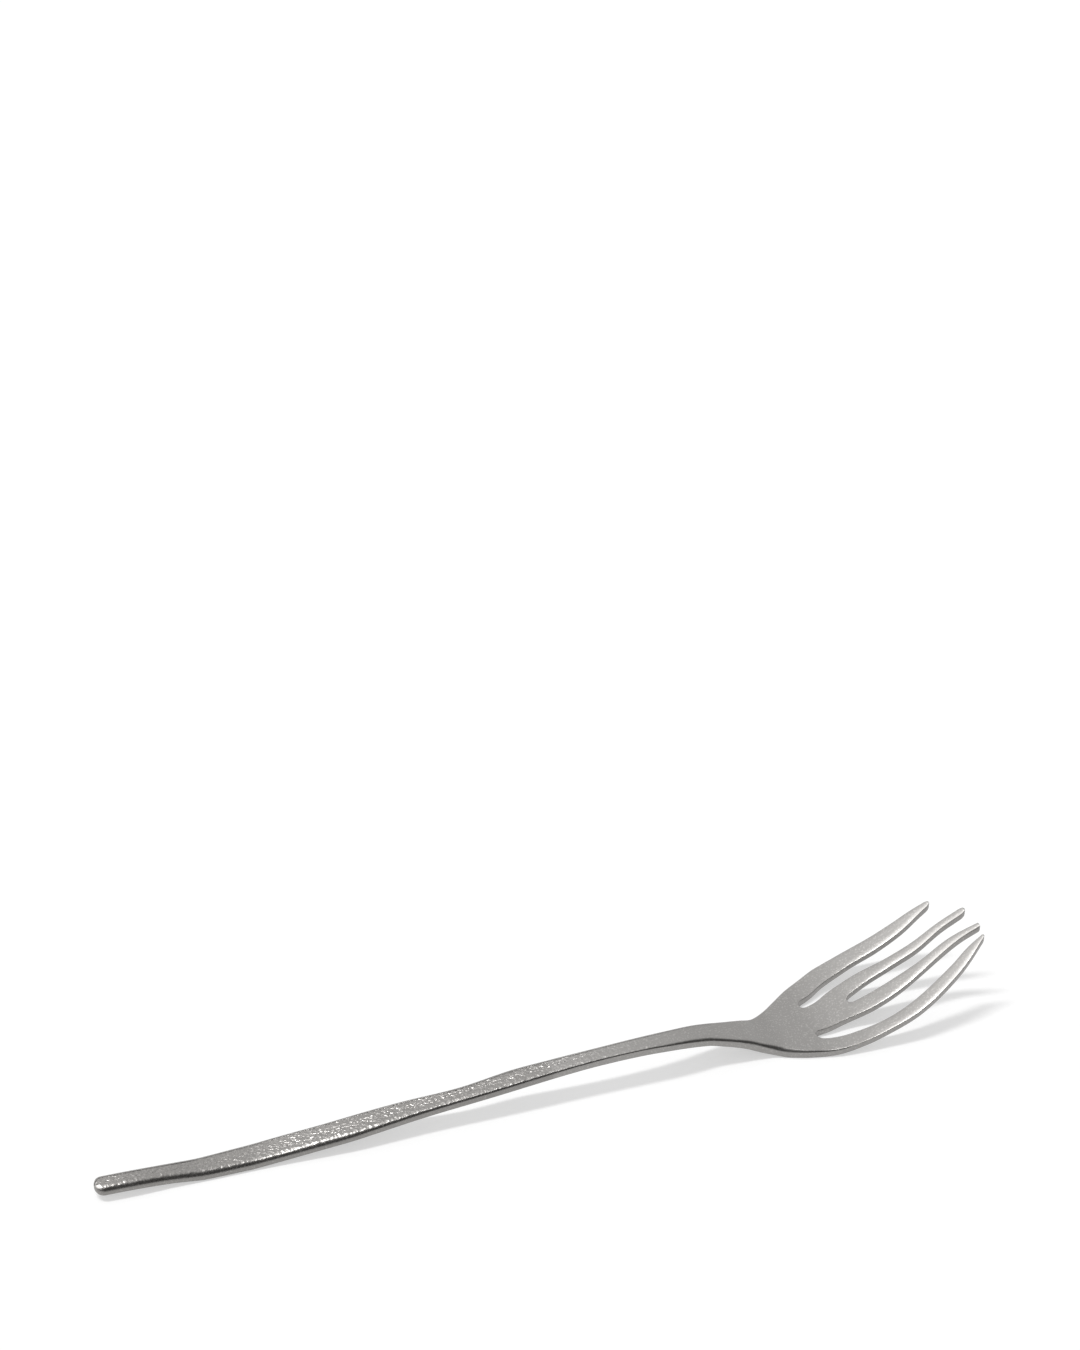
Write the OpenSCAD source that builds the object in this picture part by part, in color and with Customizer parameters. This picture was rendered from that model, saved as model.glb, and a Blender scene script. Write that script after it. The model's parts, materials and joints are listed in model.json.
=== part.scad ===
// A long slim fork, forged from one piece of steel, with a wavy handle and four uneven tines.
// It rests on two flats: one near the end of the handle, which turns up a little, and the heel of
// the palm.
// X runs from the handle to the tines, Y to the left and Z up from the table.

/* [Overall] */
// Length from the end of the handle to the tips of the longest tines
fork_length = 220; // [190:1:250]
// Width of the head across the outer tines
head_width = 29.4; // [27:0.1:35]
// Height of the steel's underside at the top of the handle's arch
arch_rise = 8.5; // [5:0.1:12]
// Height of the steel's underside at the tips of the tines
tip_rise = 20.7; // [14:0.1:27]

/* [Handle] */
// Width of the handle at its broadest
handle_width = 6.4; // [5:0.1:8]
// Thickness of the handle
handle_thickness = 2.7; // [2:0.1:3.5]
// Radius along the edges of the handle
handle_round = 0.9; // [0.3:0.05:1.2]
// Radius of the rounded end of the handle, seen from above
end_round = 2.2; // [1.2:0.1:2.8]

/* [Head] */
// Thickness of the palm
palm_thickness = 1.85; // [1.4:0.05:2.6]
// Thickness of the tines at their tips
tip_thickness = 1.7; // [1.2:0.05:2]
// Radius along the edges of the head
head_round = 0.45; // [0.15:0.05:0.6]
// Radius of a tine's tip, seen from above
tip_round = 1.3; // [0.6:0.1:1.6]

/* [Slots] */
// Width of the slot beside the left outer tine, at the tips
left_slot_width = 6.5; // [5.5:0.1:7]
// Width of the slot between the inner tines, at the tips
middle_slot_width = 5.2; // [4.4:0.1:5.8]
// Width of the slot beside the right outer tine, at its broadest
right_slot_width = 5.6; // [4.8:0.1:6.4]
// Length over which a slot rounds off at its root
root_round = 1.6; // [0.8:0.1:2.4]

/* [Hidden] */

half_head = head_width / 2;
textured_steel = [0.62, 0.61, 0.6];
satin_steel = [0.66, 0.65, 0.64];

// Where one section of the forging ends and the next begins, as shares of the length
end_cut_share = 0.11;
neck_cut_share = 0.5;
palm_cut_share = 0.727;
tine_cut_share = 0.868;

// Steps along each section and round each rounded edge
end_steps = 16;
handle_steps = 46;
neck_steps = 32;
palm_steps = 30;
tine_steps = 26;
root_steps = 7;
cap_steps = 6;
arc_steps = 3;
arc_points = arc_steps + 1;
ring_points = 4 * arc_points;

// Tables pair a share of the length with a share of the size that they follow.
// Arch of the underside, of arch_rise
arch_shares = [[0, 0.18], [0.04, 0.18], [0.08, 0.1], [0.12, -0.01], [0.16, -0.01], [0.2, 0.08],
    [0.25, 0.24], [0.3, 0.38], [0.4, 0.63], [0.5, 0.88], [0.55, 0.97], [0.6, 1], [0.64, 0.94],
    [0.67, 0.82], [0.7, 0.62], [0.72, 0.44], [0.74, 0.19], [0.76, 0.02], [0.78, -0.02],
    [0.8, -0.02], [0.82, 0]];
// Sweep of the tines' underside, of tip_rise
sweep_shares = [[0.76, 0], [0.79, 0.002], [0.82, 0.022], [0.85, 0.088], [0.87, 0.155],
    [0.9, 0.285], [0.92, 0.39], [0.94, 0.512], [0.96, 0.662], [0.98, 0.826], [1, 1]];
// Left edge of the handle, of handle_width
handle_left_shares = [[0, 0.72], [0.04, 0.62], [0.08, 0.6], [0.12, 0.62], [0.16, 0.64], [0.2, 0.6],
    [0.25, 0.46], [0.3, 0.38], [0.34, 0.29], [0.4, 0.09], [0.46, 0.12], [0.5, 0.03], [0.55, -0.07],
    [0.6, -0.1], [0.64, -0.05], [0.68, 0.08], [0.76, 0.2]];
// Right edge of the handle, of handle_width
handle_right_shares = [[0, -0.02], [0.04, -0.12], [0.08, -0.17], [0.12, -0.27], [0.17, -0.35],
    [0.2, -0.41], [0.25, -0.54], [0.28, -0.6], [0.36, -0.59], [0.44, -0.68], [0.54, -0.75],
    [0.6, -0.84], [0.64, -0.89], [0.68, -0.86], [0.76, -0.73]];
// Left edge of the head, of what the head adds to the neck
head_left_shares = [[0.68, 0], [0.71, 0.02], [0.74, 0.1], [0.76, 0.3], [0.78, 0.535], [0.8, 0.762],
    [0.82, 0.917], [0.84, 1.038], [0.87, 1.095], [0.91, 1.09], [0.95, 1.059], [0.975, 0.958]];
// Right edge of the head, of what the head adds to the neck
head_right_shares = [[0.68, 0], [0.72, 0.15], [0.75, 0.296], [0.77, 0.48], [0.785, 0.6],
    [0.8, 0.69], [0.82, 0.8], [0.84, 0.841], [0.87, 0.862], [0.91, 0.853], [0.94, 0.728],
    [0.97, 0.536], [1, 0.198]];
// Middle of each slot, of half the head's width
left_slot_shares = [[0.8, 0.329], [0.82, 0.4], [0.84, 0.53], [0.86, 0.606], [0.88, 0.639],
    [0.91, 0.624], [0.94, 0.622], [0.97, 0.637], [1, 0.545]];
middle_slot_shares = [[0.85, 0.072], [0.88, 0.125], [0.91, 0.146], [0.94, 0.137], [0.97, 0.143],
    [1, 0.021]];
right_slot_shares = [[0.8, -0.38], [0.82, -0.442], [0.85, -0.46], [0.88, -0.487], [0.91, -0.449],
    [0.94, -0.365], [0.96, -0.321], [0.98, -0.288], [1, -0.329]];
// Spread of each slot, of its width
left_spread_shares = [[0.8, 0.37], [0.83, 0.49], [0.87, 0.53], [0.91, 0.645], [0.94, 0.78],
    [0.97, 0.96], [1, 1]];
middle_spread_shares = [[0.85, 0.42], [0.88, 0.7], [0.91, 0.72], [0.95, 0.67], [0.98, 0.82],
    [1, 1]];
right_spread_shares = [[0.8, 0.4], [0.82, 0.64], [0.84, 0.84], [0.87, 0.93], [0.92, 0.96],
    [0.96, 0.86], [0.98, 0.63], [1, 0.43]];
// Change from the handle's thickness to the palm's, and from the palm's to the tips'
thinning_shares = [[0.66, 0], [0.71, 0.25], [0.75, 0.05], [0.78, 0.4], [0.81, 0.82], [0.85, 1]];
tapering_shares = [[0.82, 0], [0.9, 0.2], [0.96, 0.4], [1, 1]];
// Stretch in which the edges change from the handle's radius to the head's
soften_from_share = 0.64;
soften_to_share = 0.76;
// How far to the left of the handle's line the middle of the outline lies, of half the head's width
outline_middle_share = 0.0904;
// A rounded edge takes at most this share of half the steel's thickness or width
round_limit_share = 0.9;

// Slots and tines, counted from the right
slot_root_shares = [0.804, 0.854, 0.804];
slot_middle_shares = [right_slot_shares, middle_slot_shares, left_slot_shares];
slot_spread_shares = [right_spread_shares, middle_spread_shares, left_spread_shares];
slot_widths = [right_slot_width, middle_slot_width, left_slot_width];
tine_end_shares = [0.998, 1, 0.9965, 0.9735];
narrow_round_share = 0.55;
blunt_round_share = 0.35;
tine_tip_rounds = [tip_round * narrow_round_share, tip_round * blunt_round_share, tip_round, tip_round];
last_tine = len(tine_end_shares) - 1;
slope_reach_share = 0.001;
least_step_share = 0.0001;

// Value of a table at a share s of the length, on a smooth curve through its points
function stretch(t, s, i = 0) = i >= len(t) - 2 || s < t[i + 1][0] ? i : stretch(t, s, i + 1);
function lean(t, i) =
    let(a = max(i - 1, 0), b = min(i + 1, len(t) - 1))
    (t[b][1] - t[a][1]) / (t[b][0] - t[a][0]);
function along(t, s) =
    s <= t[0][0] ? t[0][1] :
    s >= t[len(t) - 1][0] ? t[len(t) - 1][1] :
    let(i = stretch(t, s),
        h = t[i + 1][0] - t[i][0],
        u = (s - t[i][0]) / h,
        v = 1 - u)
    t[i][1] * v * v * (1 + 2 * u) + t[i + 1][1] * u * u * (3 - 2 * u)
        + lean(t, i) * h * u * v * v - lean(t, i + 1) * h * u * u * v;
function ramp(a, b, s) = let(u = max(0, min(1, (s - a) / (b - a)))) u * u * (3 - 2 * u);

// Side view: underside, steepness and thickness
function underside(s) = arch_rise * along(arch_shares, s) + tip_rise * along(sweep_shares, s);
function steepness(s) =
    let(a = s - slope_reach_share, b = s + slope_reach_share)
    norm([1, (underside(b) - underside(a)) / ((b - a) * fork_length)]);
function thickness(s) =
    handle_thickness + (palm_thickness - handle_thickness) * along(thinning_shares, s)
        + (tip_thickness - palm_thickness) * along(tapering_shares, s);
function edge_round(s) =
    handle_round + (head_round - handle_round) * ramp(soften_from_share, soften_to_share, s);

// Top view: outer edges, and the two edges of each slot. They meet at its root, and run on as one
// line to the neck, where the strips of steel that become tines are still joined.
neck_left = handle_width * along(handle_left_shares, 1);
neck_right = -handle_width * along(handle_right_shares, 1);
function left_edge(s) =
    handle_width * along(handle_left_shares, s) + (half_head - neck_left) * along(head_left_shares, s);
function right_edge(s) =
    handle_width * along(handle_right_shares, s)
        - (half_head - neck_right) * along(head_right_shares, s);
function rounded(d, r) = d >= r ? 1 : d <= 0 ? 0 : sqrt(1 - pow(1 - d / r, 2));
function slot_half(j, s) =
    slot_widths[j] / 2 * along(slot_spread_shares[j], s)
        * rounded((s - slot_root_shares[j]) * fork_length, root_round);
function slot_middle(j, s) =
    let(root = slot_root_shares[j])
    s >= root ? half_head * along(slot_middle_shares[j], s) :
    let(across = (slot_middle(j, root) - right_edge(root)) / (left_edge(root) - right_edge(root)))
    right_edge(s) + (left_edge(s) - right_edge(s)) * across;
function slot_edge(j, s, side) = slot_middle(j, s) + side * slot_half(j, s);
function tine_right(j, s) = j == 0 ? right_edge(s) : slot_edge(j - 1, s, 1);
function tine_left(j, s) = j == last_tine ? left_edge(s) : slot_edge(j, s, -1);

// One cross-section of the steel between two edges, its corners rounded by r_right and r_left,
// drawn in by the share cap of its width and by the height inset at a rounded end
function corner(x, y, z, ry, rz, start) =
    [for (i = [0:arc_steps]) let(a = start + 90 * i / arc_steps) [x, y + ry * cos(a), z + rz * sin(a)]];
function section(s, y_right, y_left, r_right, r_left, cap = 1, inset = 0) =
    let(x = s * fork_length,
        k = steepness(s),
        low = max(0, underside(s)),
        tall = thickness(s) * k,
        middle = (y_right + y_left) / 2,
        half = (y_left - y_right) / 2 * cap,
        y0 = cap == 1 ? y_right : middle - half,
        y1 = cap == 1 ? y_left : middle + half,
        z0 = low + inset * k,
        z1 = low + tall - inset * k,
        most = min(half, (z1 - z0) / 2 / k) * round_limit_share,
        a = min(r_right, most),
        b = min(r_left, most))
    concat(corner(x, y0 + a, z0 + a * k, a, a * k, 180), corner(x, y1 - b, z0 + b * k, b, b * k, 270),
        corner(x, y1 - b, z1 - b * k, b, b * k, 0), corner(x, y0 + a, z1 - a * k, a, a * k, 90));

// A section at a distance d from a rounded end of radius r
function end_section(s, y_right, y_left, d, r) =
    let(e = edge_round(s), cap = rounded(d, r), inset = e * (1 - rounded(d, e)))
    section(s, y_right, y_left, e, e, cap, min(inset, thickness(s) / 2 * round_limit_share));

// Triangles of a skin over sections, leaving out those that a closed corner squeezes to nothing
function tri(p, a, b, c) = p[a] != p[b] && p[b] != p[c] && p[c] != p[a] ? [[a, b, c]] : [];
function strip_faces(p, first, next, k) =
    let(m = (k + 1) % ring_points)
    concat(tri(p, first + k, next + k, next + m), tri(p, first + k, next + m, first + m));
function start_cap(p, first) =
    [for (k = [1:ring_points - 2]) each tri(p, first, first + k, first + k + 1)];
function end_cap(p, first) =
    [for (k = [1:ring_points - 2]) each tri(p, first, first + k + 1, first + k)];

module bar(sections) {
    points = [for (r = sections) each r];
    last = (len(sections) - 1) * ring_points;
    faces = concat(start_cap(points, 0), end_cap(points, last),
        [for (i = [0:len(sections) - 2], k = [0:ring_points - 1])
            each strip_faces(points, i * ring_points, (i + 1) * ring_points, k)]);
    polyhedron(points, faces);
}

// Evenly spaced shares from a to b, and shares that crowd towards a rounded end or root,
// short of the far end of its reach
function even(a, b, n) = [for (i = [0:n]) i == n ? b : a + (b - a) * i / n];
function crowded(at, reach, n) = [for (i = [0:n - 1]) at + reach / fork_length * (1 - cos(90 * i / n))];

// Shares in rising order, each once, and those of them that clear the one before
function sorted(list) =
    len(list) < 2 ? list :
    let(pivot = list[floor(len(list) / 2)])
    concat(sorted([for (v = list) if (v < pivot) v]), [pivot], sorted([for (v = list) if (v > pivot) v]));
function spaced(list) =
    [for (i = [0:len(list) - 1]) if (i == 0 || list[i] - list[i - 1] > least_step_share) list[i]];

module between(a, b, n) {
    bar([for (s = even(a, b, n)) section(s, right_edge(s), left_edge(s), edge_round(s), edge_round(s))]);
}

module handle_end() {
    color(textured_steel)
        bar([for (s = concat(crowded(0, end_round, cap_steps),
                even(end_round / fork_length, end_cut_share, end_steps)))
            end_section(s, right_edge(s), left_edge(s), s * fork_length, end_round)]);
}

module handle() {
    color(textured_steel) between(end_cut_share, neck_cut_share, handle_steps);
}

module neck() {
    color(satin_steel) between(neck_cut_share, palm_cut_share, neck_steps);
}

module palm() {
    stops = concat([for (r = slot_root_shares) each crowded(r, root_round, root_steps)],
        even(palm_cut_share, tine_cut_share, palm_steps));
    before = [for (s = spaced(sorted(stops))) if (s < tine_cut_share - least_step_share) s];
    shares = concat(before, [tine_cut_share]);
    strips = last_tine + 1;
    points = [for (s = shares, j = [0:last_tine])
        let(e = edge_round(s),
            r_right = j == 0 ? e : min(e, slot_half(j - 1, s)),
            r_left = j == last_tine ? e : min(e, slot_half(j, s)))
        each section(s, tine_right(j, s), tine_left(j, s), r_right, r_left)];
    left_wall = 2 * arc_points - 1;
    right_wall = ring_points - 1;
    function open(j, i) = j >= 0 && j < last_tine
        ? slot_half(j, shares[i]) > 0 || slot_half(j, shares[i + 1]) > 0
        : true;
    function row(i, j) = (i * strips + j) * ring_points;
    color(satin_steel)
        polyhedron(points, concat(
            [for (j = [0:last_tine]) each start_cap(points, row(0, j))],
            [for (j = [0:last_tine]) each end_cap(points, row(len(shares) - 1, j))],
            [for (i = [0:len(shares) - 2], j = [0:last_tine], k = [0:ring_points - 1])
                if ((k != left_wall || open(j, i)) && (k != right_wall || open(j - 1, i)))
                    each strip_faces(points, row(i, j), row(i + 1, j), k)]));
}

module tine(j) {
    end = tine_end_shares[j];
    r = tine_tip_rounds[j];
    color(satin_steel)
        bar([for (s = concat(even(tine_cut_share, end - r / fork_length, tine_steps),
                sorted(crowded(end, -r, cap_steps))))
            end_section(s, tine_right(j, s), tine_left(j, s), (end - s) * fork_length, r)]);
}

module left_outer_tine() { tine(3); }
module left_inner_tine() { tine(2); }
module right_inner_tine() { tine(1); }
module right_outer_tine() { tine(0); }

// The forging stands with its origin on the table, under the middle of its outline
module placed() {
    translate([-fork_length / 2, -half_head * outline_middle_share, 0]) children();
}

placed() handle_end();
placed() handle();
placed() neck();
placed() palm();
placed() left_outer_tine();
placed() left_inner_tine();
placed() right_inner_tine();
placed() right_outer_tine();
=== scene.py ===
import json
import math

import bmesh
import bpy
import numpy as np
from mathutils import Matrix, Vector, noise


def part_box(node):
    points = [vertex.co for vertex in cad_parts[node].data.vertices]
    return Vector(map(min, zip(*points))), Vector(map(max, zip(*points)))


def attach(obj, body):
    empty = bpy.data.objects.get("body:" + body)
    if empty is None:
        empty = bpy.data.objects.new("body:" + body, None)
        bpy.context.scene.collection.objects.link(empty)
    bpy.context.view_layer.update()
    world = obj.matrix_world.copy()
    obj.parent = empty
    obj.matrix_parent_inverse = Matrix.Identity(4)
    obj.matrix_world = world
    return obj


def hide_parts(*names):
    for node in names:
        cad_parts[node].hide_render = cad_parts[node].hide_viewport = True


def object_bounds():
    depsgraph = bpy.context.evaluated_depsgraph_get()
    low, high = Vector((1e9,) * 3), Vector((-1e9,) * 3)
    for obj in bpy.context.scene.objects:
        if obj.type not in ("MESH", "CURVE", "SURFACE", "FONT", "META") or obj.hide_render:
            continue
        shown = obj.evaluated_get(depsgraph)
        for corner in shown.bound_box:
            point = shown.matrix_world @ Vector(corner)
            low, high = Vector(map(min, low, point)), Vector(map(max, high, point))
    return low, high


# A slim steel fork with a wavy, textured handle, a satin head and four uneven tines. Each section
# of the frame gets a finer skin, drawn in millimetres with x from the end of the handle. The
# sections meet ring to ring, so that they look like the one forging that they are.
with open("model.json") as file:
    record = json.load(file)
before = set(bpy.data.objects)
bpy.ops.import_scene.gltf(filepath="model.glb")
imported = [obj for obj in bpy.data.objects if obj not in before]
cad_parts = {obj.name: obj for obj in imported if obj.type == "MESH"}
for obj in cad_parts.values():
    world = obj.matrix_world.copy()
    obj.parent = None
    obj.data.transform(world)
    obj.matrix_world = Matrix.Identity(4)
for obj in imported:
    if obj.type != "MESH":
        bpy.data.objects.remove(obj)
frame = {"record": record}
cad_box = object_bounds()

MM = 0.001
fork_length = (cad_box[1].x - cad_box[0].x) / MM
handle_end_x = cad_box[0].x / MM

# Sizes of the forging
head_width = 29.4
arch_rise = 8.5
tip_rise = 20.7
handle_width = 6.4
handle_thickness = 2.7
palm_thickness = 1.85
tip_thickness = 1.7
end_round = 2.2
tip_round = 1.3
slot_widths = [5.6, 5.2, 6.5]
root_round = 1.6
half_head = head_width / 2

# The handle's line lies to the right of the middle of the outline
outline_middle_share = 0.0904
handle_line_y = -half_head * outline_middle_share

# Shapes of the forging: a share of its length, with a share of the size that it follows
arch_shares = [(0, 0.18), (0.04, 0.18), (0.08, 0.1), (0.12, -0.01), (0.16, -0.01), (0.2, 0.08),
               (0.25, 0.24), (0.3, 0.38), (0.4, 0.63), (0.5, 0.88), (0.55, 0.97), (0.6, 1),
               (0.64, 0.94), (0.67, 0.82), (0.7, 0.62), (0.72, 0.44), (0.74, 0.19), (0.76, 0.02),
               (0.78, -0.02), (0.8, -0.02), (0.82, 0)]
sweep_shares = [(0.76, 0), (0.79, 0.002), (0.82, 0.022), (0.85, 0.088), (0.87, 0.155),
                (0.9, 0.285), (0.92, 0.39), (0.94, 0.512), (0.96, 0.662), (0.98, 0.826), (1, 1)]
handle_left_shares = [(0, 0.72), (0.04, 0.62), (0.08, 0.6), (0.12, 0.62), (0.16, 0.64), (0.2, 0.6),
                      (0.25, 0.46), (0.3, 0.38), (0.34, 0.29), (0.4, 0.09), (0.46, 0.12), (0.5, 0.03),
                      (0.55, -0.07), (0.6, -0.1), (0.64, -0.05), (0.68, 0.08), (0.76, 0.2)]
handle_right_shares = [(0, -0.02), (0.04, -0.12), (0.08, -0.17), (0.12, -0.27), (0.17, -0.35),
                       (0.2, -0.41), (0.25, -0.54), (0.28, -0.6), (0.36, -0.59), (0.44, -0.68),
                       (0.54, -0.75), (0.6, -0.84), (0.64, -0.89), (0.68, -0.86), (0.76, -0.73)]
head_left_shares = [(0.68, 0), (0.71, 0.02), (0.74, 0.1), (0.76, 0.3), (0.78, 0.535), (0.8, 0.762),
                    (0.82, 0.917), (0.84, 1.038), (0.87, 1.095), (0.91, 1.09), (0.95, 1.059),
                    (0.975, 0.958)]
head_right_shares = [(0.68, 0), (0.72, 0.15), (0.75, 0.296), (0.77, 0.48), (0.785, 0.6),
                     (0.8, 0.69), (0.82, 0.8), (0.84, 0.841), (0.87, 0.862), (0.91, 0.853),
                     (0.94, 0.728), (0.97, 0.536), (1, 0.198)]
thinning_shares = [(0.66, 0), (0.71, 0.25), (0.75, 0.05), (0.78, 0.4), (0.81, 0.82), (0.85, 1)]
tapering_shares = [(0.82, 0), (0.9, 0.2), (0.96, 0.4), (1, 1)]

# Slots and tines, counted from the right
slot_middle_shares = [
    [(0.8, -0.38), (0.82, -0.442), (0.85, -0.46), (0.88, -0.487), (0.91, -0.449), (0.94, -0.365),
     (0.96, -0.321), (0.98, -0.288), (1, -0.329)],
    [(0.85, 0.072), (0.88, 0.125), (0.91, 0.146), (0.94, 0.137), (0.97, 0.143), (1, 0.021)],
    [(0.8, 0.329), (0.82, 0.4), (0.84, 0.53), (0.86, 0.606), (0.88, 0.639), (0.91, 0.624),
     (0.94, 0.622), (0.97, 0.637), (1, 0.545)]]
slot_spread_shares = [
    [(0.8, 0.4), (0.82, 0.64), (0.84, 0.84), (0.87, 0.93), (0.92, 0.96), (0.96, 0.86), (0.98, 0.63),
     (1, 0.43)],
    [(0.85, 0.42), (0.88, 0.7), (0.91, 0.72), (0.95, 0.67), (0.98, 0.82), (1, 1)],
    [(0.8, 0.37), (0.83, 0.49), (0.87, 0.53), (0.91, 0.645), (0.94, 0.78), (0.97, 0.96), (1, 1)]]
slot_root_shares = [0.804, 0.854, 0.804]
tine_end_shares = [0.998, 1, 0.9965, 0.9735]
narrow_round_share = 0.55
blunt_round_share = 0.35
tine_rounds = [tip_round * narrow_round_share, tip_round * blunt_round_share, tip_round, tip_round]
tine_names = ["right_outer_tine", "right_inner_tine", "left_inner_tine", "left_outer_tine"]
last_tine = len(tine_names) - 1

# Edges: the lower rounds of the handle and of the head, the shares of the length over which one
# turns into the other, the upper round of the near edge as shares of the handle's thickness, and
# the upper round of the slots
lower_rounds = (0.9, 0.45)
soften_shares = (0.64, 0.76)
upper_round_shares = [(0, 0.62), (0.12, 0.6), (0.2, 0.52), (0.25, 0.62), (0.3, 0.5), (0.36, 0.42),
                      (0.5, 0.32), (0.6, 0.2), (0.67, 0.34), (0.71, 0.3), (0.75, 0.52),
                      (0.79, 0.26), (0.84, 0.05)]
slot_upper_round = 0.12

# Crown of the upper face, on the handle and on the head: how far in from the edge it reaches, how
# far it falls to the edge, and how that fall grows along the head
crown_reaches = (2.2, 1.5)
crown_falls = (0.14, 0.26)
crown_growth_shares = [(0.8, 0.1), (0.86, 0.35), (0.9, 0.7), (0.95, 1)]

# The most that a round and the crown take of half the width, and a lower round of the height
round_limit_share = 0.9
crown_limit_share = 0.95
lower_limit_share = 0.45

# How gently the upper face settles over the flats that the fork rests on
settle = 0.25

# How finely the skin is drawn: between rings in millimetres, and steps along each part of a ring
handle_step = 0.17
head_step = 0.35
cap_steps = 14
arc_steps = 6
crown_steps = 5
handle_columns = (46, 16)
head_columns = (6, 4)
share_digits = 5
least_gap = 0.0001


# Curves along the length

def along(table, s):
    """Value of a table at the shares s, on a smooth curve through its points"""
    x, y = np.array(table, float).T
    last = len(x) - 1
    at = np.arange(last + 1)
    before, after = np.maximum(at - 1, 0), np.minimum(at + 1, last)
    lean = (y[after] - y[before]) / (x[after] - x[before])
    s = np.clip(s, x[0], x[-1])
    i = np.clip(np.searchsorted(x, s, side="right") - 1, 0, last - 1)
    h = x[i + 1] - x[i]
    u = (s - x[i]) / h
    v = 1 - u
    return (y[i] * v * v * (1 + 2 * u) + y[i + 1] * u * u * (3 - 2 * u)
            + lean[i] * h * u * v * v - lean[i + 1] * h * u * u * v)


def ramp(a, b, s):
    """A smooth step from 0 at a to 1 at b"""
    u = np.clip((s - a) / (b - a), 0, 1)
    return u * u * (3 - 2 * u)


def softened(pair, s):
    """A size that changes from the handle's to the head's"""
    return pair[0] + (pair[1] - pair[0]) * ramp(*soften_shares, s)


def underside(s):
    """Height of the lower face, which the flats cut off at the table"""
    return arch_rise * along(arch_shares, s) + tip_rise * along(sweep_shares, s)


def steepness(s):
    """How much taller than its thickness the sloping steel stands"""
    reach = 0.001
    return np.hypot(1, (underside(s + reach) - underside(s - reach)) / (2 * reach * fork_length))


def thickness(s):
    return (handle_thickness + (palm_thickness - handle_thickness) * along(thinning_shares, s)
            + (tip_thickness - palm_thickness) * along(tapering_shares, s))


def left_edge(s):
    neck = handle_width * handle_left_shares[-1][1]
    return (handle_width * along(handle_left_shares, s)
            + (half_head - neck) * along(head_left_shares, s))


def right_edge(s):
    neck = -handle_width * handle_right_shares[-1][1]
    return (handle_width * along(handle_right_shares, s)
            - (half_head - neck) * along(head_right_shares, s))


def rounded(d, r):
    """Share of the full width at the distances d from a round end of radius r"""
    return np.sqrt(1 - (1 - np.clip(d / r, 0, 1)) ** 2)


def slot_half(j, s):
    """Half the width of a slot, which is 0 before its root"""
    return (slot_widths[j] / 2 * along(slot_spread_shares[j], s)
            * rounded((s - slot_root_shares[j]) * fork_length, root_round))


def slot_middle(j, s):
    """Middle of a slot, and before its root the line where its two tines are still joined"""
    root = np.full(1, slot_root_shares[j])
    start = half_head * along(slot_middle_shares[j], root)
    across = (start - right_edge(root)) / (left_edge(root) - right_edge(root))
    joined = right_edge(s) + (left_edge(s) - right_edge(s)) * across
    return np.where(s >= root, half_head * along(slot_middle_shares[j], s), joined)


# An edge of a strip of steel: where it lies, its lower and upper rounds, and how far it is open
# to the air

def near_edge(s):
    upper = handle_thickness * along(upper_round_shares, s)
    return right_edge(s), softened(lower_rounds, s), upper, 1


def far_edge(s):
    """The far edge, rounded alike above and below, and crowned on the head alone"""
    lower = softened(lower_rounds, s)
    return left_edge(s), lower, lower, softened((0, 1), s)


def slot_edge(j, s, side):
    """The left edge of a slot where side is 1, and its right edge where side is -1"""
    half = slot_half(j, s)
    lower, upper = np.minimum(lower_rounds[1], half), np.minimum(slot_upper_round, half)
    return slot_middle(j, s) + side * half, lower, upper, np.clip(half / lower_rounds[1], 0, 1)


def strip_edges(j, s):
    """Right and left edges of the strip that becomes tine j"""
    right = near_edge(s) if j == 0 else slot_edge(j - 1, s, 1)
    left = far_edge(s) if j == last_tine else slot_edge(j, s, -1)
    return right, left


# Rings of the cross-section

def column(values, s):
    return np.broadcast_to(values, s.shape)[:, None]


def wall_to_underside(y, z, side, r, k):
    """A lower round of radius r, stretched upwards by the steepness k"""
    turn = np.linspace(0, math.pi / 2, arc_steps + 1)
    return np.stack([y - side * r * (1 - np.cos(turn)), z + k * r * (1 - np.sin(turn))], 2)


def wall_to_top(y, z, side, r, k, reach, fall):
    """An upper round of radius r, and the crown from there to its reach"""
    turn = np.linspace(0, math.pi / 2, arc_steps + 1)
    slope = r + (reach - r) * np.arange(1, crown_steps + 1) / crown_steps
    u = np.concatenate([r * (1 - np.cos(turn)), slope], 1)
    drop = np.concatenate([r * (1 - np.sin(turn)), np.zeros_like(slope)], 1)
    share = 1 - u / np.maximum(reach, least_gap)
    return np.stack([y - side * u, z - k * (drop + fall * share * share)], 2)


def flat(start, end, columns):
    """Points spread evenly between two columns of points"""
    t = (np.arange(columns) + 1)[None, :, None] / (columns + 1)
    return start + (end - start) * t


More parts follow.
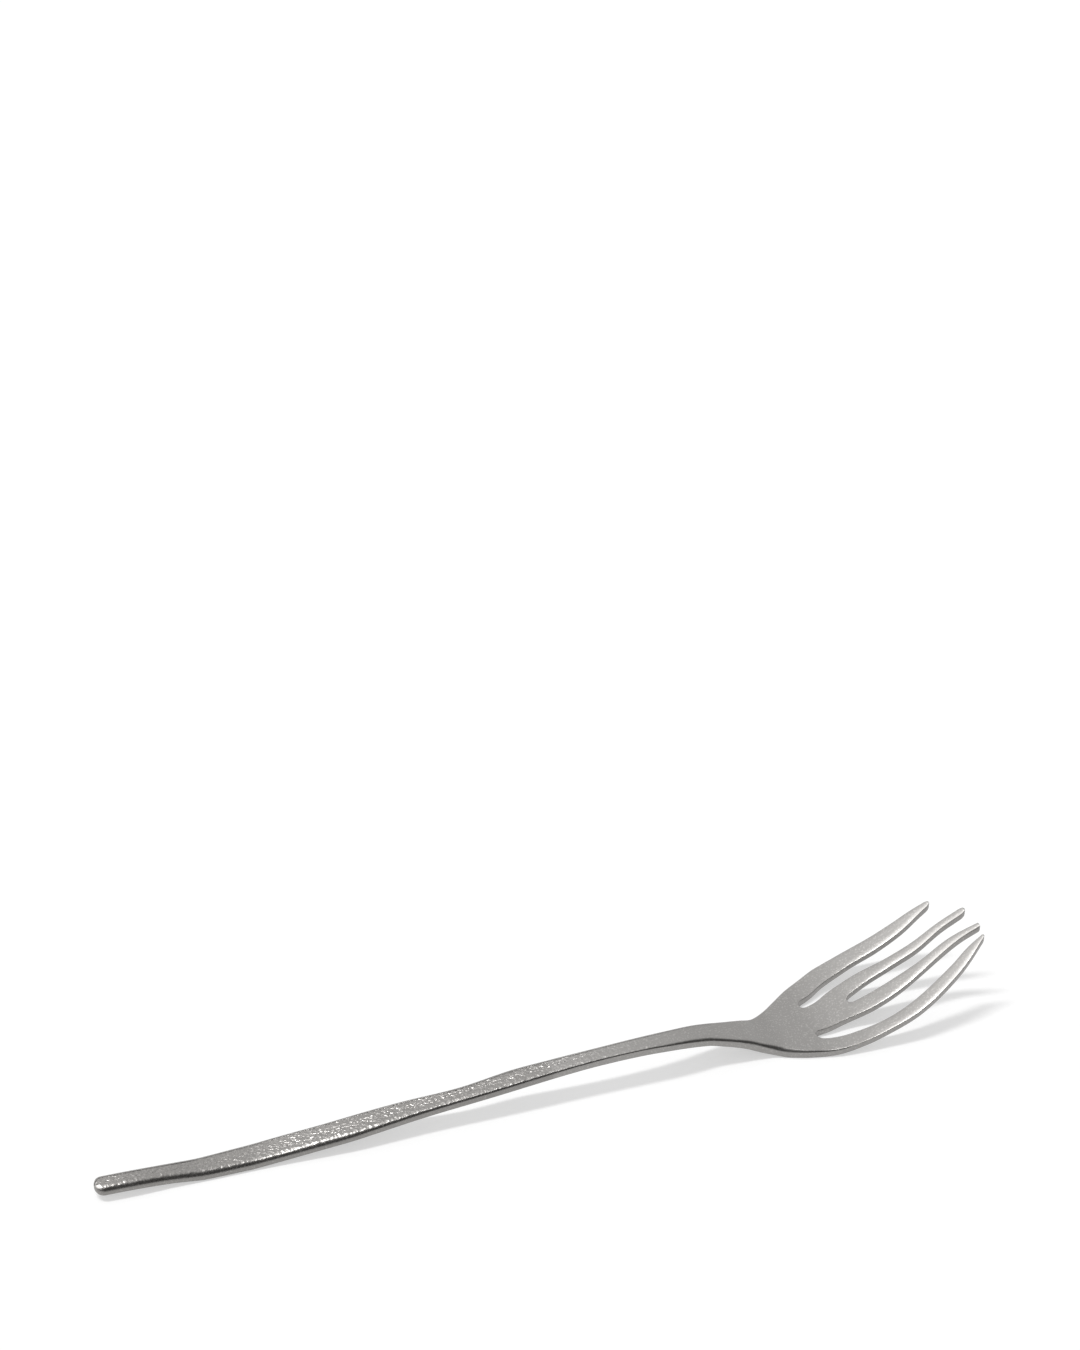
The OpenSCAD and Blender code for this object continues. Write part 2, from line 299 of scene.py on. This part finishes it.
def rings(s, edges, columns, cap=1, inset=0):
    """Rings of points at the shares s, up the left edge, over the top, down the right edge and
    back below. At a rounded end, cap narrows the ring, and inset thins it from both faces."""
    k = column(steepness(s), s)
    low = column(underside(s), s)
    (right, *_), (left, *_) = edges
    middle, half = column((right + left) / 2, s), column((left - right) / 2 * cap, s)
    z0 = np.maximum(0, low) + column(inset, s) * k
    z1 = (low + np.hypot(low, settle)) / 2 + column(thickness(s) - inset, s) * k
    tall = (z1 - z0) / k
    whole_reach = column(softened(crown_reaches, s), s)
    growth = 1 + (along(crown_growth_shares, s) - 1) * ramp(*soften_shares, s)
    parts = []
    for side, (_, lower, upper, opened) in ((1, edges[1]), (-1, edges[0])):
        edge, opened = middle + side * half, column(opened, s)
        widest = half * round_limit_share
        lower = np.minimum(column(lower, s), np.minimum(widest, tall * lower_limit_share))
        reach = np.minimum(whole_reach, half * crown_limit_share) * opened
        fall = column(softened(crown_falls, s) * growth, s) * opened * reach / whole_reach
        upper = np.minimum(column(upper, s), np.minimum(widest, tall - lower - fall))
        reach = np.maximum(reach, upper)
        below = wall_to_underside(edge, z0, side, lower, k)
        above = wall_to_top(edge, z1, side, upper, k, reach, fall)
        parts += [below[:, ::-1], above] if side > 0 else [above[:, ::-1], below]
    top = flat(parts[1][:, -1:], parts[2][:, :1], columns[0])
    under = flat(parts[3][:, -1:], parts[0][:, :1], columns[1])
    yz = np.concatenate(parts[:2] + [top] + parts[2:] + [under], 1)
    x = np.broadcast_to(column(s * fork_length, s), yz.shape[:2])
    return np.concatenate([x[:, :, None], yz], 2)


# Places on a ring of the head where the upright walls of its left and right edges lie
left_wall = arc_steps
right_wall = 3 * arc_steps + 2 * crown_steps + 2 + head_columns[0]


def ring_faces(count, around, inside=lambda i, k: False):
    """Quads between rings, apart from those that would lie inside the steel"""
    return [(i * around + k, i * around + (k + 1) % around,
             (i + 1) * around + (k + 1) % around, (i + 1) * around + k)
            for i in range(count - 1) for k in range(around) if not inside(i, k)]


def placed(name, data):
    """A new object in the scene"""
    thing = bpy.data.objects.new(name, data)
    bpy.context.scene.collection.objects.link(thing)
    return thing


def steel_piece(name, points, faces, caps):
    """A closed piece of steel, smooth but for the hidden ends where it meets the next section"""
    b = bmesh.new()
    verts = [b.verts.new(p) for p in points]
    for f in faces:
        b.faces.new([verts[i] for i in f]).smooth = True
    for f in caps:
        for e in b.faces.new([verts[i] for i in f]).edges:
            e.smooth = False
    bmesh.ops.remove_doubles(b, verts=b.verts, dist=least_gap)
    bmesh.ops.dissolve_degenerate(b, edges=b.edges, dist=least_gap)
    bmesh.ops.triangulate(b, faces=[f for f in b.faces if len(f.verts) > 4])
    bmesh.ops.translate(b, vec=(handle_end_x, handle_line_y, 0), verts=b.verts)
    bmesh.ops.scale(b, vec=(MM, MM, MM), verts=b.verts)
    mesh = bpy.data.meshes.new(name)
    b.to_mesh(mesh)
    b.free()
    return placed(name, mesh)


def bar_piece(name, skin):
    """A piece of one bar, from its rings"""
    count, around = skin.shape[:2]
    last = (count - 1) * around
    caps = [range(around - 1, -1, -1), range(last, last + around)]
    return steel_piece(name, skin.reshape(-1, 3).tolist(), ring_faces(count, around), caps)


# Relief of the handle: fine chased marks that run along it, deeper on the near half and gone at
# the smooth neck. They lie in the upper and lower faces and leave the sides smooth.
relief_shares = [(0, 0.9), (0.15, 0.8), (0.22, 1), (0.4, 1), (0.5, 0.9), (0.6, 0.5), (0.7, 0)]
mark_size = 0.4
mark_depth = 0.19
grain_size = 0.22
grain_depth = 0.16
stretch_along = 2.2
far_depth_share = 0.5
near_half_shares = (0.15, 0.55)
level_face_shares = (0.7, 0.95)


def relief(skin):
    """The rings with marks and grain pressed into them"""
    tangent = np.roll(skin, -1, 1) - np.roll(skin, 1, 1)
    out = np.stack([0 * skin[:, :, 0], tangent[:, :, 2], -tangent[:, :, 1]], 2)
    out /= np.maximum(np.linalg.norm(out, axis=2), least_gap)[:, :, None]
    y = skin[:, :, 1]
    left, right = y.max(1)[:, None], y.min(1)[:, None]
    nearness = ramp(*near_half_shares, (left - y) / (left - right))
    strength = (along(relief_shares, skin[:, :, 0] / fork_length)
                * ramp(*level_face_shares, abs(out[:, :, 2]))
                * (far_depth_share + (1 - far_depth_share) * nearness))
    depth = np.zeros(strength.shape)
    for at in zip(*np.nonzero(strength > 0)):
        p = Vector(skin[at])
        p.x /= stretch_along
        mark, grain = noise.noise(p / mark_size), noise.noise(p / grain_size)
        depth[at] = strength[at] * (mark_depth * (1 + mark) + grain_depth * (1 + grain)) / 2
    return skin - out * depth[:, :, None]


# Sections of the forging

def even(a, b, step):
    """Shares spread evenly from a to b, about a step in millimetres apart"""
    return np.linspace(a, b, max(2, round((b - a) * fork_length / step)))


def crowded(end, reach):
    """Shares that crowd towards a rounded end or root"""
    return end + reach / fork_length * (1 - np.cos(np.linspace(0, math.pi / 2, cap_steps + 1)))


def end_shape(d, s, r):
    """Narrowing and thinning at the distances d from a rounded end of radius r"""
    e = softened(lower_rounds, s)
    return rounded(d, r), np.minimum(e * (1 - rounded(d, e)), thickness(s) * lower_limit_share)


def handle_rings(s, cap=1, inset=0):
    return relief(rings(s, (near_edge(s), far_edge(s)), handle_columns, cap, inset))


def handle_end_piece(name, end):
    straight = even(end_round / fork_length, end, handle_step)
    s = np.unique(np.concatenate([crowded(0, end_round), straight]))
    cap, inset = end_shape(s * fork_length, s, end_round)
    return bar_piece(name, handle_rings(s, cap, inset))


def palm_piece(name, start, end):
    """The palm as one strip for each tine, joined up to the roots of the slots"""
    stops = [even(start, end, head_step)] + [crowded(root, root_round) for root in slot_root_shares]
    s = np.unique(np.concatenate(stops).round(share_digits))
    s = np.concatenate([[start], s[(s > start) & (s < end)], [end]])
    points, faces, caps = [], [], []
    shut = [slot_half(j, s) <= 0 for j in range(last_tine)]
    for j in range(last_tine + 1):
        skin = rings(s, strip_edges(j, s), head_columns)
        around, count = skin.shape[1], len(points)

        def inside(i, k):
            slot = j if k == left_wall else j - 1 if k == right_wall else -1
            return 0 <= slot < last_tine and shut[slot][i] and shut[slot][i + 1]

        strip = ring_faces(len(s), around, inside)
        ends = [range(around - 1, -1, -1), range((len(s) - 1) * around, len(s) * around)]
        points += skin.reshape(-1, 3).tolist()
        faces += [[i + count for i in f] for f in strip]
        caps += [[i + count for i in f] for f in ends]
    return steel_piece(name, points, faces, caps)


def tine_piece(name, j, start):
    end, r = tine_end_shares[j], tine_rounds[j]
    straight = even(start, end - r / fork_length, head_step)
    s = np.unique(np.concatenate([straight, crowded(end, -r)]))
    cap, inset = end_shape((end - s) * fork_length, s, r)
    return bar_piece(name, rings(s, strip_edges(j, s), head_columns, cap, inset))


def section_ends(node):
    """Shares of the length at which a section of the frame starts and ends"""
    low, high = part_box(node)
    return [(v.x / MM - handle_end_x) / fork_length for v in (low, high)]


pieces = {"handle_end": handle_end_piece("handle_end_steel", section_ends("handle_end")[1])}
for node in ("handle", "neck"):
    pieces[node] = bar_piece(node + "_steel", handle_rings(even(*section_ends(node), handle_step)))
palm_start, palm_end = section_ends("palm")
pieces["palm"] = palm_piece("palm_steel", palm_start, palm_end)
for j, node in enumerate(tine_names):
    pieces[node] = tine_piece(node + "_steel", j, palm_end)


# Nodes that the materials and the world share

def fill(tree, socket, value):
    """Set a socket to a plain value, or link it to another node's output"""
    if isinstance(value, bpy.types.NodeSocket):
        tree.links.new(value, socket)
    else:
        socket.default_value = value


def node_of(tree, kind, **inputs):
    """A new node with the named inputs filled"""
    node = tree.nodes.new(kind)
    for name, value in inputs.items():
        fill(tree, node.inputs[name], value)
    return node


def combined(tree, operation, a, b):
    """The sum, product or maximum of two values"""
    node = tree.nodes.new("ShaderNodeMath")
    node.operation = operation
    fill(tree, node.inputs[0], a)
    fill(tree, node.inputs[1], b)
    return node.outputs[0]


def mapped(tree, value, start, end):
    """A value carried from the range start to the range end"""
    node = tree.nodes.new("ShaderNodeMapRange")
    for socket, given in zip(node.inputs, (value, *start, *end)):
        fill(tree, socket, given)
    return node.outputs[0]


def mixed(tree, kind, factor, a, b):
    """Numbers (FLOAT) or colours (RGBA) that go from a to b as the factor goes from 0 to 1"""
    first, out = {"FLOAT": (2, 0), "RGBA": (6, 2)}[kind]
    node = tree.nodes.new("ShaderNodeMix")
    node.data_type = kind
    fill(tree, node.inputs[0], factor)
    fill(tree, node.inputs[first], a)
    fill(tree, node.inputs[first + 1], b)
    return node.outputs[out]


def lit_for(tree, first, *others):
    """1 for the named kinds of ray, and 0 for the rest"""
    path = tree.nodes.new("ShaderNodeLightPath")
    total = path.outputs[first]
    for ray in others:
        total = combined(tree, "MAXIMUM", total, path.outputs[ray])
    return total


# Finishes: the grain of a noise makes the roughness vary, is painted into the colour as sparse bright
# specks that stand in for glints of the grain, and roughens the surface by its height in metres
noise_scale = 2400
noise_detail = 2
noise_range = (0.3, 0.7)
painted_glint_range = (0.54, 0.8)
base_tint = 0.97
painted_glint_tint = 1.5
textured_color = (0.262, 0.254, 0.245)
textured_roughness = (0.26, 0.34)
textured_grain = 0.00002
satin_color = (0.305, 0.297, 0.288)
satin_roughness = (0.28, 0.35)
satin_grain = 0.00001


def steel(name, color, roughness, grain):
    """Steel with a fine bead-blasted grain"""
    material = bpy.data.materials.new(name)
    material.use_nodes = True
    tree = material.node_tree
    shader = tree.nodes["Principled BSDF"]
    shader.inputs["Metallic"].default_value = 1
    place = tree.nodes.new("ShaderNodeTexCoord").outputs["Object"]
    fine = node_of(tree, "ShaderNodeTexNoise", Vector=place, Scale=noise_scale, Detail=noise_detail)
    fac = fine.outputs["Fac"]
    # Painted glints: sparse specks of the noise get a brighter colour than the rest of the steel
    base, painted_glint_color = [(*[c * tint for c in color], 1) for tint in (base_tint, painted_glint_tint)]
    color_with_painted_glints = mixed(tree, "RGBA", mapped(tree, fac, painted_glint_range, (0, 1)), base, painted_glint_color)
    bump = node_of(tree, "ShaderNodeBump", Strength=1, Distance=grain, Height=fac)
    fill(tree, shader.inputs["Base Color"], color_with_painted_glints)
    fill(tree, shader.inputs["Roughness"], mapped(tree, fac, noise_range, roughness))
    fill(tree, shader.inputs["Normal"], bump.outputs["Normal"])
    return material


finishes = {
    "textured_steel": steel("textured_steel", textured_color, textured_roughness, textured_grain),
    "satin_steel": steel("satin_steel", satin_color, satin_roughness, satin_grain)}
slots = {part["node"]: part["material_slot"] for part in frame["record"]["subparts"]}
for name, piece in pieces.items():
    piece.data.materials.append(finishes[slots[name]])
    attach(piece, "root")
    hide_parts(name)

# Camera at the photograph's angle: how far away it is and where it aims, in metres, and the pixel
# at which that point shows
camera_turn = math.radians(19.59)
camera_rise = math.radians(44)
camera_away = 0.9
aim = Vector((0, -0.0016, 0.008))
picture = (1080, 1350)
aim_pixel = (547.2, 1067)
pixels_per_mm = 4.2
sensor = 36


def make_camera():
    focal_pixels = pixels_per_mm * camera_away / MM
    back = Vector((-math.sin(camera_turn) * math.cos(camera_rise),
                   -math.cos(camera_turn) * math.cos(camera_rise), math.sin(camera_rise)))
    camera = placed("camera", bpy.data.cameras.new("camera"))
    camera.location = aim + back * camera_away
    camera.data.sensor_fit = "VERTICAL"
    camera.data.sensor_height = sensor
    camera.data.lens = focal_pixels / picture[1] * sensor
    tilt = math.atan((aim_pixel[1] - picture[1] / 2) / focal_pixels)
    swing = math.atan((aim_pixel[0] - picture[0] / 2) / focal_pixels)
    facing = (-back).to_track_quat("-Z", "Y").to_matrix()
    turned = facing @ Matrix.Rotation(swing, 3, "Y") @ Matrix.Rotation(tilt, 3, "X")
    camera.rotation_euler = turned.to_euler()
    bpy.context.scene.camera = camera


# Floor: pale paper that looks white to the camera and in the steel, with half of its side in
# metres
floor_color = 0.6
floor_glow = 0.46
half_floor = 3


def make_floor():
    corners = [(-half_floor, -half_floor, 0), (half_floor, -half_floor, 0),
               (half_floor, half_floor, 0), (-half_floor, half_floor, 0)]
    mesh = bpy.data.meshes.new("floor")
    mesh.from_pydata(corners, [], [(0, 1, 2, 3)])
    floor = placed("floor", mesh)
    paper = bpy.data.materials.new("paper")
    paper.use_nodes = True
    tree = paper.node_tree
    shader = tree.nodes["Principled BSDF"]
    shader.inputs["Base Color"].default_value = (floor_color, floor_color, floor_color, 1)
    shader.inputs["Roughness"].default_value = 1
    shader.inputs["Specular IOR Level"].default_value = 0
    shader.inputs["Emission Color"].default_value = (1, 1, 1, 1)
    seen = lit_for(tree, "Is Camera Ray", "Is Glossy Ray", "Is Transmission Ray")
    fill(tree, shader.inputs["Emission Strength"], combined(tree, "MULTIPLY", seen, floor_glow))
    mesh.materials.append(paper)


# A long softbox overhead, a little to the left and the back: a row of suns, so that the paper is
# lit alike all over. Shift and reach are those of the shadow for each unit of height, and the
# level is that of a white face that looks straight up at them.
key_count = 5
key_reach = 0.17
key_turn = camera_turn / 2
key_shift = (0.282, -0.084)
key_level = 0.5
key_angle = math.radians(6.5)


def make_keys():
    for i in range(key_count):
        along_row = key_reach * (2 * i / (key_count - 1) - 1)
        toward_key = Vector((-key_shift[0] - along_row * math.cos(key_turn),
                             -key_shift[1] + along_row * math.sin(key_turn), 1))
        key = bpy.data.lights.new(f"key_{i}", "SUN")
        key.energy = key_level * math.pi / key_count
        key.angle = key_angle
        placed(key.name, key).rotation_euler = toward_key.to_track_quat("Z", "Y").to_euler()


# World: a studio that the steel sees brighter to the left, with a bright card up there, and dark
# on the camera's side. Everything else gets a plain soft light from it, and the camera sees white.
# Each pair is a range of directions, from -1 away from an axis to 1 along it, and its levels.
right_levels = ((-0.2, 0.6), (1.28, 0.97))
left_levels = ((-0.55, -0.2), (0.56, 0))
back_levels = ((-0.35, 0.3), (0.1, 1))
card_axis = (-0.7, 0.02, 0.7)
card_levels = ((0.78, 0.93), (0, 3.2))
soft_level = 0.5
white = 1


def make_world():
    world = bpy.data.worlds.new("studio")
    bpy.context.scene.world = world
    world.use_nodes = True
    tree = world.node_tree
    direction = tree.nodes.new("ShaderNodeTexCoord").outputs["Generated"]

    def level(axis, levels):
        """The level of each direction, by how far it points along an axis"""
        dot = tree.nodes.new("ShaderNodeVectorMath")
        dot.operation = "DOT_PRODUCT"
        fill(tree, dot.inputs[0], direction)
        fill(tree, dot.inputs[1], Vector(axis).normalized())
        return mapped(tree, dot.outputs["Value"], *levels)

    across = combined(tree, "ADD", level((1, 0, 0), right_levels), level((1, 0, 0), left_levels))
    sky = combined(tree, "MULTIPLY", across, level((0, 1, 0), back_levels))
    brightest = combined(tree, "MAXIMUM", sky, level(card_axis, card_levels))
    lighting = mixed(tree, "FLOAT", lit_for(tree, "Is Glossy Ray"), soft_level, brightest)
    shown = lit_for(tree, "Is Camera Ray", "Is Transmission Ray")
    background = tree.nodes["Background"]
    background.inputs["Strength"].default_value = 1
    fill(tree, background.inputs["Color"], mixed(tree, "FLOAT", shown, lighting, white))


make_camera()
make_floor()
make_keys()
make_world()
bpy.context.scene.view_settings.view_transform = "Standard"
